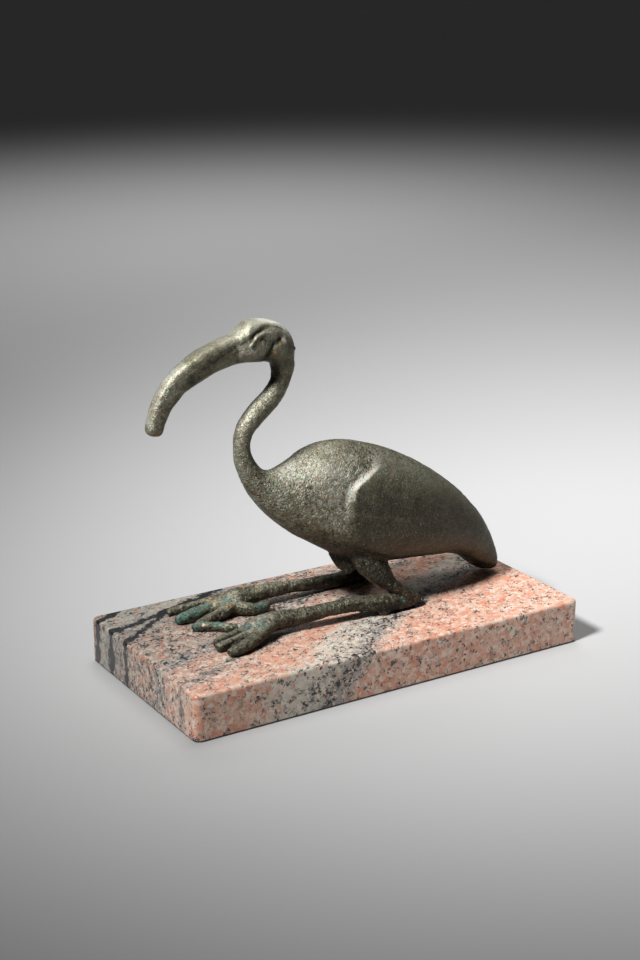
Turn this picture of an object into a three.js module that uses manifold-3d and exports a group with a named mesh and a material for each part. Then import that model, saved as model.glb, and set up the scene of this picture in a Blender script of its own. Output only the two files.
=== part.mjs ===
// A small bronze ibis crouching on its folded legs, on a rectangular stone slab.
// Millimetres. The origin is the centre of the slab's underside, +Z up.
// The bird faces -X; its left side faces -Y.
import * as THREE from 'three';
import Module from 'manifold-3d';

const wasm = await Module();
wasm.setup();

// Driving sizes of the stone slab
const SLAB_LENGTH = 192;
const SLAB_WIDTH = 96;
const SLAB_THICKNESS = 20;
const SLAB_CORNER_RADIUS = 3.3;
const SLAB_TOP_ROUNDING = 1.4;
const SLAB_BOTTOM_ROUNDING = 0.6;
const CORNER_STEPS = 5;
const ROUNDING_STEPS = 3;

// Driving sizes of the bird
const BIRD_MIDDLE_Y = 3.5;
const REST_Z = SLAB_THICKNESS;
const BODY_RINGS = 46;
const BODY_SIDES = 28;
const HEAD_RINGS = 30;
const HEAD_SIDES = 16;
const LIMB_SIDES = 10;
const SHANK_RINGS = 16;
const STUB_RINGS = 3;
const KEEL_RINGS = 5;
const EYE_RINGS = 9;
const TOE_RINGS = 8;
const TOE_SIDES = 8;
const FAR_THIGH_INWARD = 0.6;
const BELLY_FULLNESS = 0.34;
const NECK_HALF = 7;
const BODY_HALF = 17;
const WING_THICKNESS = 0.9;
const WING_DEPTH = 2.2;
const WING_FADE = 0.3;
const WING_TAIL_SHARE = 0.45;
const WING_STEPS_ALONG = 18;
const WING_STEPS_DOWN = 8;

// Neck and body in one run from the head down the neck and back to the tail.
// Each row: back point x, z; front or under point x, z; half width.
const BODY_ROWS = [
  [-20.5, 138.0, -33.0, 140.0, 5.6],
  [-20.1, 131.9, -30.6, 133.3, 4.9],
  [-21.7, 126.2, -30.1, 127.9, 4.2],
  [-24.1, 121.1, -31.8, 124.4, 4.0],
  [-27.3, 116.6, -35.3, 121.1, 4.3],
  [-31.7, 112.6, -39.6, 117.8, 4.4],
  [-36.0, 108.9, -43.7, 113.4, 4.2],
  [-39.4, 105.8, -46.6, 109.3, 3.9],
  [-41.1, 102.5, -48.2, 104.3, 3.7],
  [-41.3, 98.9, -48.6, 99.4, 3.7],
  [-40.2, 95.2, -48.3, 93.9, 4.1],
  [-38.1, 91.8, -46.5, 88.4, 4.6],
  [-35.9, 89.2, -43.6, 82.0, 5.6],
  [-33.0, 87.8, -40.3, 76.6, 7.0],
  [-28.8, 87.6, -35.6, 70.7, 9.0],
  [-24.0, 89.0, -29.3, 64.4, 11.4],
  [-18.4, 91.3, -21.4, 57.8, 14.2],
  [-11.7, 94.2, -13.0, 52.5, 16.6],
  [-4.4, 95.6, -3.9, 46.6, 18.4],
  [5.3, 95.0, 5.9, 41.2, 19.8],
  [16.4, 92.0, 15.3, 39.0, 20.2],
  [28.5, 87.3, 25.0, 38.2, 20.0],
  [41.4, 80.5, 36.0, 37.4, 18.8],
  [53.7, 72.3, 47.0, 36.0, 16.6],
  [65.1, 62.6, 57.0, 33.8, 13.8],
  [74.5, 52.4, 65.5, 30.6, 11.0],
  [81.2, 42.5, 72.5, 27.0, 8.4],
  [85.5, 33.6, 79.0, 22.8, 6.2],
  [87.4, 25.8, 84.0, 20.8, 4.6],
];

// Head and bill from the nape to the tip: upper point x, z; lower point x, z; half width
const HEAD_ROWS = [
  [-20.2, 134.4, -22.0, 132.0, 2.0],
  [-20.4, 140.4, -27.7, 132.1, 5.1],
  [-22.4, 145.7, -32.0, 134.4, 6.3],
  [-26.6, 149.8, -34.8, 135.2, 6.7],
  [-31.8, 152.0, -38.6, 135.6, 6.9],
  [-37.4, 153.1, -42.3, 135.9, 6.7],
  [-42.1, 152.8, -46.0, 136.0, 6.3],
  [-45.3, 150.4, -48.8, 135.7, 5.8],
  [-48.6, 148.1, -51.6, 135.1, 5.3],
  [-53.8, 146.8, -56.6, 134.0, 5.2],
  [-59.6, 144.9, -60.8, 132.5, 5.0],
  [-65.1, 142.8, -64.7, 130.9, 4.7],
  [-70.4, 139.7, -68.4, 129.2, 4.2],
  [-75.2, 136.6, -71.9, 127.8, 3.8],
  [-79.6, 132.6, -75.1, 124.8, 3.7],
  [-82.9, 128.1, -77.8, 121.8, 3.5],
  [-85.4, 123.3, -79.5, 119.5, 3.1],
  [-87.0, 118.8, -80.8, 116.8, 2.9],
  [-88.0, 114.7, -82.1, 113.8, 2.7],
  [-87.4, 111.9, -83.6, 111.3, 1.8],
];

// Thighs: front point x, z; rear point x, z; distance from the bird's middle plane; half width.
// They narrow down to the heel and spread outward on the way.
const THIGH_ROWS = [
  [-5.6, 50.0, 16.0, 54.0, 10.5, 4.4],
  [0.4, 43.0, 17.6, 46.0, 12.4, 4.8],
  [5.6, 37.4, 19.6, 38.6, 14.6, 4.9],
  [10.8, 33.0, 21.8, 33.4, 16.4, 4.5],
  [16.6, 29.2, 26.9, 29.6, 17.8, 4.0],
  [21.4, 26.0, 31.4, 26.2, 18.7, 3.7],
  [25.4, 22.8, 33.0, 22.4, 19.2, 3.1],
];
const THIGH_RINGS = 12;
const THIGH_SIDES = 12;

// Wing: row number of its leading edge, from beside the spine down to the lower corner
const WING_FRONT = [20.75, 20.4, 20.0, 19.85, 19.2, 18.52, 18.28, 18.2, 18.24, 18.5, 20.05];
// Wing: how far down it reaches, in degrees from the spine, from its front to the tail
const WING_LOW = [131, 134, 135.5, 137, 141, 138, 118, 100];
const WING_TOP_ANGLE = 7;
const WING_LAST_ROW = 27.85;

// Limbs as rows of x, y, z, half width, half height
const NEAR_SHANK = [
  [31.4, -15.4, 23.0, 2.4, 2.6],
  [26.0, -15.4, 23.3, 3.4, 3.3],
  [18.0, -15.2, 24.1, 3.9, 3.8],
  [11.0, -14.8, 25.1, 3.9, 3.9],
  [1.0, -14.0, 26.5, 3.3, 3.4],
  [-10.0, -13.2, 26.8, 3.0, 3.1],
  [-19.5, -12.2, 26.2, 3.1, 3.2],
  [-28.7, -11.0, 25.8, 3.5, 3.7],
  [-37.7, -9.8, 25.6, 4.8, 4.1],
  [-44.2, -9.8, 24.9, 6.4, 4.1],
  [-49.4, -11.8, 23.7, 6.4, 3.2],
];
const FAR_SHANK = [
  [31.4, 22.2, 22.8, 2.4, 2.6],
  [26.0, 22.2, 23.0, 3.3, 3.2],
  [18.0, 22.0, 23.2, 3.6, 3.4],
  [11.0, 21.7, 23.3, 3.3, 3.2],
  [-3.0, 21.3, 24.6, 3.0, 3.0],
  [-12.0, 21.0, 25.3, 3.0, 2.9],
  [-23.0, 20.8, 25.9, 3.4, 3.3],
  [-33.0, 20.6, 25.9, 4.3, 3.9],
  [-40.0, 20.6, 25.8, 5.6, 4.2],
  [-46.0, 20.8, 24.4, 6.4, 3.5],
  [-50.0, 21.2, 23.2, 5.6, 2.6],
];
const TOES = [
  // near foot: outer, middle, inner
  [[-43, -13.2, 24.4, 3.0, 3.2], [-51, -17.2, 23.3, 2.9, 2.9], [-58, -20.2, 22.6, 2.7, 2.8],
    [-63, -21.5, 22.2, 2.5, 2.4], [-66.4, -21.7, 21.7, 1.6, 1.6]],
  [[-43, -11.2, 24.4, 2.8, 3.0], [-51, -12.8, 23.4, 2.4, 2.7], [-59, -14.0, 22.6, 2.2, 2.5],
    [-65, -14.6, 22.2, 2.1, 2.3], [-68.4, -14.5, 21.8, 1.5, 1.6]],
  [[-43, -8.4, 24.4, 2.8, 3.0], [-51, -8.9, 23.4, 2.4, 2.7], [-59, -9.9, 22.8, 2.2, 2.5],
    [-64.2, -10.6, 22.4, 2.1, 2.3], [-67.2, -10.7, 22.0, 1.5, 1.7]],
  // far foot: outer, middle, inner, hind
  [[-40, 24.0, 25.0, 3.0, 3.0], [-46.5, 29.6, 22.9, 2.5, 2.4], [-53, 31.6, 22.0, 2.2, 1.9],
    [-61, 30.8, 21.8, 2.1, 1.8], [-67.6, 31.2, 21.5, 1.6, 1.4]],
  [[-40, 22.0, 25.4, 3.2, 3.2], [-47, 22.6, 23.8, 2.8, 3.0], [-55, 21.3, 22.9, 2.8, 2.9],
    [-63, 19.9, 22.7, 2.9, 2.8], [-69.6, 19.9, 22.1, 1.8, 1.9]],
  [[-41, 18.5, 25.0, 3.0, 3.0], [-47.5, 15.5, 23.4, 2.7, 2.9], [-54, 13.8, 22.6, 2.3, 2.5],
    [-60.5, 11.2, 22.2, 2.2, 2.3], [-66.3, 9.0, 21.7, 1.7, 1.7]],
  [[-43, 18.0, 25.0, 2.6, 2.8], [-40.6, 15.0, 23.4, 2.6, 2.8], [-37, 13.0, 22.8, 2.4, 2.7],
    [-32.8, 12.2, 22.6, 2.2, 2.4], [-28.6, 12.9, 22.6, 1.9, 2.0], [-26.8, 13.4, 22.6, 1.1, 1.2]],
  // loose digit lying between the feet, joined to the far foot's inner toe
  [[-64.5, 8.8, 21.7, 1.5, 1.6], [-61, 7.8, 21.9, 1.9, 2.0], [-57, 5.3, 22.0, 2.1, 2.1],
    [-53.2, 1.3, 22.0, 2.0, 2.1], [-49.8, -0.7, 21.9, 1.5, 1.8]],
];
// Eyes: low almond swellings, distance from the bird's middle plane in place of y
const EYE_ROWS = [
  [-32.6, 6.0, 143.2, 0.6, 0.5],
  [-34.6, 6.3, 143.6, 1.0, 1.6],
  [-36.6, 6.4, 143.5, 1.1, 2.0],
  [-38.8, 6.2, 142.8, 1.0, 1.5],
  [-40.8, 5.6, 141.6, 0.5, 0.5],
];
// Lump at the lowest point of the breast
const KEEL = [
  [3.0, 3.5, 46.0, 2.6, 2.6],
  [4.4, 3.5, 42.0, 2.6, 2.6],
  [5.0, 3.5, 39.2, 2.2, 2.2],
  [5.2, 3.5, 37.8, 1.4, 1.4],
];

// Short stubs under the heels that reach the slab
const NEAR_STUB = [
  [15.2, -16.8, 26.0, 3.2, 3.0],
  [14.8, -17.8, 22.5, 3.1, 2.8],
  [14.6, -18.2, 19.0, 2.9, 2.6],
];
const FAR_STUB = [
  [15.6, 22.0, 24.0, 3.2, 3.0],
  [15.2, 22.0, 22.0, 3.0, 2.8],
  [15.0, 22.0, 19.0, 2.8, 2.6],
];

// Limb sections look this far ahead along the path; a path steeper than STEEP takes +X as upward
const LOOK_AHEAD = 0.02;
const STEEP = 0.8;

const BRONZE_COLOUR = 0x5f5e49;
const BRONZE_ROUGHNESS = 0.62;
const BRONZE_METALNESS = 0.6;
const STONE_COLOUR = 0xc9a091;
const STONE_ROUGHNESS = 0.5;

const lerp = (a, b, t) => a + (b - a) * t;

// Smooth curve through a table of rows, u from 0 to 1
function sampleRows(rows, u) {
  const last = rows.length - 1;
  const place = Math.min(Math.max(u, 0), 1) * last;
  const i = Math.min(Math.floor(place), last - 1);
  const t = place - i;
  const before = rows[Math.max(i - 1, 0)];
  const from = rows[i];
  const to = rows[i + 1];
  const after = rows[Math.min(i + 2, last)];
  return from.map((value, k) => {
    const slopeIn = (to[k] - before[k]) / 2;
    const slopeOut = (after[k] - from[k]) / 2;
    const h00 = (1 + 2 * t) * (1 - t) * (1 - t);
    const h10 = t * (1 - t) * (1 - t);
    const h01 = t * t * (3 - 2 * t);
    const h11 = t * t * (t - 1);
    return h00 * value + h10 * slopeIn + h01 * to[k] + h11 * slopeOut;
  });
}

// Closed skin over a list of rings, with a fan at each end
function skinOver(rings) {
  const sides = rings[0].length;
  const positions = [];
  rings.forEach((ring) => ring.forEach((p) => positions.push(...p)));
  const middle = (ring) => [0, 1, 2].map((k) => ring.reduce((sum, p) => sum + p[k], 0) / sides);
  positions.push(...middle(rings[0]), ...middle(rings[rings.length - 1]));
  const startPole = rings.length * sides;
  const endPole = startPole + 1;
  const index = [];
  for (let i = 0; i < rings.length - 1; i += 1) {
    for (let j = 0; j < sides; j += 1) {
      const a = i * sides + j;
      const b = i * sides + ((j + 1) % sides);
      index.push(a, b, b + sides, a, b + sides, a + sides);
    }
  }
  const lastRing = (rings.length - 1) * sides;
  for (let j = 0; j < sides; j += 1) {
    const next = (j + 1) % sides;
    index.push(startPole, next, j);
    index.push(endPole, lastRing + j, lastRing + next);
  }
  return outward(positions, index);
}

// Turns the faces outward if the enclosed volume comes out negative
function outward(positions, index) {
  let volume = 0;
  const at = (i) => new THREE.Vector3(...positions.slice(3 * i, 3 * i + 3));
  for (let i = 0; i < index.length; i += 3) {
    volume += at(index[i]).dot(at(index[i + 1]).cross(at(index[i + 2])));
  }
  if (volume < 0) {
    for (let i = 0; i < index.length; i += 3) {
      [index[i + 1], index[i + 2]] = [index[i + 2], index[i + 1]];
    }
  }
  const mesh = new wasm.Mesh({
    numProp: 3,
    vertProperties: Float32Array.from(positions),
    triVerts: Uint32Array.from(index),
  });
  return new wasm.Manifold(mesh);
}

// Point on the body or head skin: u along the rows, angle 0 at the back, growing to +Y
function skinPoint(rows, u, angle, offset = 0) {
  const [bx, bz, fx, fz, half] = sampleRows(rows, u);
  const rx = (bx - fx) / 2;
  const rz = (bz - fz) / 2;
  const reach = Math.hypot(rx, rz);
  const c = Math.cos(angle);
  const fullness = 1 + BELLY_FULLNESS * bodyShare(half) * Math.max(-c, 0) * Math.sin(angle) ** 2;
  const long = c * fullness * (1 + offset / reach);
  const wide = Math.sin(angle) * fullness * (half + offset);
  return [(bx + fx) / 2 + rx * long, BIRD_MIDDLE_Y + wide, (bz + fz) / 2 + rz * long];
}

// 0 on the neck, bill and tail tip, 1 where the body is full
function bodyShare(half) {
  return Math.min(Math.max((half - NECK_HALF) / (BODY_HALF - NECK_HALF), 0), 1);
}

function skinSolid(rows, ringCount, sides) {
  const rings = [];
  for (let i = 0; i < ringCount; i += 1) {
    const ring = [];
    for (let j = 0; j < sides; j += 1) {
      ring.push(skinPoint(rows, i / (ringCount - 1), (2 * Math.PI * j) / sides));
    }
    rings.push(ring);
  }
  return skinOver(rings);
}

// Smooth value from a plain list, t from 0 to 1
function sampleList(list, t) {
  return sampleRows(list.map((value) => [value]), t)[0];
}

const smooth = (t) => t * t * (3 - 2 * t);

// Wing: a thin shell over one flank of the body; side is -1 near, +1 far
function wingSolid(side) {
  const outer = [];
  const inner = [];
  for (let i = 0; i <= WING_STEPS_ALONG; i += 1) {
    const s = i / WING_STEPS_ALONG;
    const low = sampleList(WING_LOW, s);
    for (let j = 0; j <= WING_STEPS_DOWN; j += 1) {
      const t = j / WING_STEPS_DOWN;
      const row = lerp(sampleList(WING_FRONT, t), WING_LAST_ROW, s);
      const u = row / (BODY_ROWS.length - 1);
      const angle = side * THREE.MathUtils.degToRad(lerp(WING_TOP_ANGLE, low, t));
      const proud = WING_THICKNESS * smooth(Math.min(t / WING_FADE, 1)) * lerp(1, WING_TAIL_SHARE, s);
      outer.push(skinPoint(BODY_ROWS, u, angle, proud));
      inner.push(skinPoint(BODY_ROWS, u, angle, -WING_DEPTH));
    }
  }
  const columns = WING_STEPS_DOWN + 1;
  const count = outer.length;
  const index = [];
  const quad = (a, b, c, d) => index.push(a, b, c, a, c, d);
  for (let i = 0; i < WING_STEPS_ALONG; i += 1) {
    for (let j = 0; j < WING_STEPS_DOWN; j += 1) {
      const a = i * columns + j;
      quad(a, a + 1, a + columns + 1, a + columns);
      quad(count + a, count + a + columns, count + a + columns + 1, count + a + 1);
    }
    const top = i * columns;
    const foot = top + WING_STEPS_DOWN;
    quad(top, top + columns, count + top + columns, count + top);
    quad(foot, count + foot, count + foot + columns, foot + columns);
  }
  const rear = WING_STEPS_ALONG * columns;
  for (let j = 0; j < WING_STEPS_DOWN; j += 1) {
    quad(j, count + j, count + j + 1, j + 1);
    quad(rear + j, rear + j + 1, count + rear + j + 1, count + rear + j);
  }
  return outward([...outer, ...inner].flat(), index);
}

// Tube along rows of x, y, z, half width, half height, with sections square to the path
function limbSolid(rows, steps, sides = LIMB_SIDES) {
  const rings = [];
  for (let i = 0; i < steps; i += 1) {
    const u = i / (steps - 1);
    const [x, y, z, halfWidth, halfHeight] = sampleRows(rows, u);
    const ahead = sampleRows(rows, Math.min(u + LOOK_AHEAD, 1));
    const behind = sampleRows(rows, Math.max(u - LOOK_AHEAD, 0));
    const along = new THREE.Vector3(ahead[0] - behind[0], ahead[1] - behind[1], ahead[2] - behind[2]);
    along.normalize();
    const upward = Math.abs(along.z) > STEEP ? new THREE.Vector3(1, 0, 0) : new THREE.Vector3(0, 0, 1);
    const side = new THREE.Vector3().crossVectors(upward, along).normalize();
    const lift = new THREE.Vector3().crossVectors(along, side);
    const ring = [];
    for (let j = 0; j < sides; j += 1) {
      const angle = (2 * Math.PI * j) / sides;
      const p = new THREE.Vector3(x, y, z);
      p.addScaledVector(side, Math.cos(angle) * halfWidth);
      p.addScaledVector(lift, Math.sin(angle) * halfHeight);
      ring.push([p.x, p.y, p.z]);
    }
    rings.push(ring);
  }
  return skinOver(rings);
}

function eyeSolid(side) {
  const rows = EYE_ROWS.map(([x, away, ...rest]) => [x, BIRD_MIDDLE_Y + side * away, ...rest]);
  return limbSolid(rows, EYE_RINGS);
}

// Thigh: flattened block from the belly down to the heel; side is -1 near, +1 far
function thighSolid(side, inward) {
  const rings = [];
  for (let i = 0; i < THIGH_RINGS; i += 1) {
    const [fx, fz, rx, rz, away, half] = sampleRows(THIGH_ROWS, i / (THIGH_RINGS - 1));
    const y = BIRD_MIDDLE_Y + side * (away - inward);
    const ring = [];
    for (let j = 0; j < THIGH_SIDES; j += 1) {
      const angle = (2 * Math.PI * j) / THIGH_SIDES;
      const c = Math.cos(angle);
      ring.push([
        (fx + rx) / 2 + ((rx - fx) / 2) * c,
        y + Math.sin(angle) * half,
        (fz + rz) / 2 + ((rz - fz) / 2) * c,
      ]);
    }
    rings.push(ring);
  }
  return skinOver(rings);
}

// Slab: rounded rectangle drawn in at its top and bottom edges
function slabRing(z, inset) {
  const radius = SLAB_CORNER_RADIUS - inset;
  const reachX = SLAB_LENGTH / 2 - SLAB_CORNER_RADIUS;
  const reachY = SLAB_WIDTH / 2 - SLAB_CORNER_RADIUS;
  const ring = [];
  const corners = [[1, 1], [-1, 1], [-1, -1], [1, -1]];
  corners.forEach(([sx, sy], quarter) => {
    for (let k = 0; k <= CORNER_STEPS; k += 1) {
      const angle = (Math.PI / 2) * (quarter + k / CORNER_STEPS);
      ring.push([sx * reachX + radius * Math.cos(angle), sy * reachY + radius * Math.sin(angle), z]);
    }
  });
  return ring;
}

function slabSolid() {
  const rings = [];
  for (let k = 0; k <= ROUNDING_STEPS; k += 1) {
    const angle = (Math.PI / 2) * (k / ROUNDING_STEPS);
    const r = SLAB_BOTTOM_ROUNDING;
    rings.push(slabRing(r * (1 - Math.sin(angle)), r * (1 - Math.cos(angle))));
  }
  rings.reverse();
  for (let k = 0; k <= ROUNDING_STEPS; k += 1) {
    const angle = (Math.PI / 2) * (k / ROUNDING_STEPS);
    const r = SLAB_TOP_ROUNDING;
    rings.push(slabRing(SLAB_THICKNESS - r * (1 - Math.sin(angle)), r * (1 - Math.cos(angle))));
  }
  return skinOver(rings);
}

const pieces = [
  skinSolid(BODY_ROWS, BODY_RINGS, BODY_SIDES),
  skinSolid(HEAD_ROWS, HEAD_RINGS, HEAD_SIDES),
  wingSolid(-1),
  wingSolid(1),
  thighSolid(-1, 0),
  thighSolid(1, FAR_THIGH_INWARD),
  limbSolid(NEAR_SHANK, SHANK_RINGS),
  limbSolid(FAR_SHANK, SHANK_RINGS),
  eyeSolid(-1),
  eyeSolid(1),
  limbSolid(KEEL, KEEL_RINGS),
  limbSolid(NEAR_STUB, STUB_RINGS),
  limbSolid(FAR_STUB, STUB_RINGS),
  ...TOES.map((rows) => limbSolid(rows, TOE_RINGS, TOE_SIDES)),
];
let bird = pieces[0];
for (const piece of pieces.slice(1)) {
  bird = bird.add(piece);
}
// Everything below the slab's top is cut away, so that feet and stubs stand flat on it
bird = bird.trimByPlane([0, 0, 1], REST_Z);

function meshFrom(solid, name, colour, roughness, metalness) {
  const mesh = solid.getMesh();
  const geometry = new THREE.BufferGeometry();
  geometry.setAttribute('position', new THREE.BufferAttribute(new Float32Array(mesh.vertProperties), 3));
  geometry.setIndex(new THREE.BufferAttribute(new Uint32Array(mesh.triVerts), 1));
  const material = new THREE.MeshStandardMaterial({ color: colour, roughness, metalness });
  const result = new THREE.Mesh(geometry, material);
  result.name = name;
  return result;
}

const group = new THREE.Group();
group.add(meshFrom(bird, 'ibis', BRONZE_COLOUR, BRONZE_ROUGHNESS, BRONZE_METALNESS));
group.add(meshFrom(slabSolid(), 'base', STONE_COLOUR, STONE_ROUGHNESS, 0));
export default group;
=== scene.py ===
"""Looks of a small crouching bronze ibis on its polished granite slab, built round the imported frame."""

import bpy
import numpy as np
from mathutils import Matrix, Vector


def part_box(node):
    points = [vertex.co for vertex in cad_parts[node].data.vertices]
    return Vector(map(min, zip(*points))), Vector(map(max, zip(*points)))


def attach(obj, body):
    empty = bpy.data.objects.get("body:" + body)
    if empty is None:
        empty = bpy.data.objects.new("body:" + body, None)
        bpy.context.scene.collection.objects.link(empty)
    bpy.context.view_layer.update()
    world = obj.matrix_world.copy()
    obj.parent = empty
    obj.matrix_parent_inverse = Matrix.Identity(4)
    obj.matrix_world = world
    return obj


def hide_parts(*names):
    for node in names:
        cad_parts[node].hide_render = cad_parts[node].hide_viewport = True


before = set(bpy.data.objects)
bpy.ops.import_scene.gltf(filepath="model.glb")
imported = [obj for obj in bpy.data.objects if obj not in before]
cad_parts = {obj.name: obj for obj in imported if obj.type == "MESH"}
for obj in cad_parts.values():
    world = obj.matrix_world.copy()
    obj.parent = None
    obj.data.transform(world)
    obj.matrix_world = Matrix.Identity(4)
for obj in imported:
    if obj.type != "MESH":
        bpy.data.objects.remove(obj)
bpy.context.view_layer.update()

# ---------------------------------------------------------------- sizes, in millimetres
MM = 0.001
MIDDLE = 3.5            # the bird's middle plane, y
REST = 20.0             # top of the slab
SLAB_LENGTH, SLAB_WIDTH, SLAB_THICKNESS = 192.0, 96.0, 20.0
SLAB_CORNER, SLAB_TOP_ROUNDING, SLAB_BOTTOM_ROUNDING = 3.3, 1.4, 0.6
CORNER_POINTS, EDGE_RINGS = 11, 9
BODY_GRID, HEAD_GRID, THIGH_GRID = (420, 180), (260, 96, 0.4), (60, 48)     # rings, sides and crowding
SHANK_GRID, TOE_GRID = (160, 40, 0.9), (80, 40, 0.9)
VOXEL = 0.45            # cell in which the bird's parts are fused
MOST_FACES = 192000     # triangles that the finished bird may have
SEAM_SOFTENING, FILL_SOFTENING, PIT_SOFTENING = (2, 0.5), (14, 0.6), (4, 0.6)   # rounds and share
MOST_FILLING = 1.2      # depth to which an inner corner is filled
FLAT_UNDER = 0.12       # what lies less than this above the slab is set down on it
ROW_LENGTH = 12.0       # from one body row to the next, about the wing's front
SIDE_RADIUS = 19.0      # of the body at the wing's lower edge

# neck, body and tail in one run: back point x, z; front or under point x, z; half width
BODY_ROWS = np.array([
    [-20.5, 138.0, -33.0, 140.0, 5.6], [-20.1, 131.9, -30.6, 133.3, 4.9], [-21.7, 126.2, -30.1, 127.9, 4.2],
    [-24.1, 121.1, -31.8, 124.4, 4.0], [-27.3, 116.6, -35.3, 121.1, 4.3], [-31.7, 112.6, -39.6, 117.8, 4.4],
    [-36.0, 108.9, -43.7, 113.4, 4.2], [-39.4, 105.8, -46.6, 109.3, 3.9], [-41.1, 102.5, -48.2, 104.3, 3.7],
    [-41.3, 98.9, -48.6, 99.4, 3.7], [-40.2, 95.2, -48.3, 93.9, 4.1], [-38.1, 91.8, -46.5, 88.4, 4.6],
    [-35.9, 89.2, -43.6, 82.0, 5.6], [-33.0, 87.8, -40.3, 76.6, 7.0], [-28.8, 87.6, -35.6, 70.7, 9.0],
    [-24.0, 89.0, -29.3, 64.4, 11.4], [-18.4, 91.3, -21.4, 57.8, 14.2], [-11.7, 94.2, -13.0, 52.5, 16.6],
    [-4.4, 95.6, -3.9, 46.6, 18.4], [5.3, 95.0, 5.9, 41.2, 19.8], [16.4, 92.0, 15.3, 39.0, 20.2],
    [28.5, 87.3, 25.0, 38.2, 20.0], [41.4, 80.5, 36.0, 37.4, 18.8], [53.7, 72.3, 47.0, 36.0, 16.6],
    [65.1, 62.6, 57.0, 34.4, 13.8], [74.5, 52.4, 65.8, 31.2, 11.0], [81.2, 42.5, 72.0, 26.2, 8.4],
    [85.5, 33.6, 78.2, 22.0, 6.4], [87.4, 26.0, 84.0, 20.8, 5.0]])

# head and bill from the nape to the tip: upper point x, z; lower point x, z; half width
HEAD_ROWS = np.array([
    [-20.2, 134.4, -22.0, 132.0, 2.0], [-20.4, 140.4, -27.7, 132.1, 5.1], [-22.4, 145.7, -32.0, 134.4, 6.3],
    [-26.6, 149.8, -34.8, 135.2, 6.7], [-31.8, 152.0, -38.6, 135.6, 6.9], [-37.4, 153.0, -42.3, 135.9, 6.7],
    [-42.1, 152.7, -46.0, 136.0, 6.3], [-45.3, 150.4, -48.8, 135.7, 5.8], [-48.6, 148.1, -51.6, 135.1, 5.3],
    [-53.8, 146.8, -56.6, 134.0, 5.2], [-59.6, 144.9, -60.8, 132.5, 5.0], [-65.1, 142.8, -64.7, 130.9, 4.7],
    [-70.4, 139.7, -68.4, 129.0, 4.2], [-75.2, 136.6, -71.7, 127.1, 3.8], [-79.6, 132.6, -74.7, 124.1, 3.7],
    [-82.9, 128.1, -77.3, 121.4, 3.6], [-85.4, 123.3, -78.8, 119.0, 3.4], [-87.0, 118.8, -80.0, 116.4, 3.3],
    [-88.0, 114.7, -81.1, 113.5, 3.2], [-88.0, 111.4, -81.9, 110.6, 3.0]])

# thighs: front point x, z; rear point x, z; distance from the middle plane; half width
THIGH_ROWS = np.array([
    [-1.6, 50.0, 16.0, 54.0, 10.5, 4.4], [1.8, 43.4, 17.6, 46.0, 12.4, 4.8],
    [5.6, 37.4, 19.6, 38.6, 14.6, 4.9], [10.8, 33.0, 21.8, 33.4, 16.4, 4.5],
    [16.6, 29.2, 26.9, 29.6, 17.8, 4.0], [21.4, 26.0, 31.4, 26.2, 18.7, 3.7],
    [25.4, 22.8, 33.0, 22.4, 19.2, 3.1]])
# how far the far thigh's front edge is set back, row by row, and how much nearer the middle it lies
FAR_THIGH_ROWS = THIGH_ROWS.copy()
FAR_THIGH_ROWS[:, 0] += [7.0, 6.8, 6.4, 5.4, 3.4, 1.6, 0.0]
FAR_THIGH_INWARD = 1.8

# wing: row of its leading edge from beside the spine down; how far down it reaches in degrees, front to
# tail; degrees from the spine at which it starts, last row that it covers, and how far it stands out
WING_FRONT = np.array([20.75, 20.4, 20.0, 19.85, 19.2, 18.52, 18.28, 18.2, 18.24, 18.5, 20.05])[:, None]
WING_LOW = np.array([131, 134, 135.5, 137, 141, 138, 118, 100.0])[:, None]
WING_TOP, WING_LAST_ROW, WING_PROUD = 7.0, 27.85, 0.9

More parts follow.
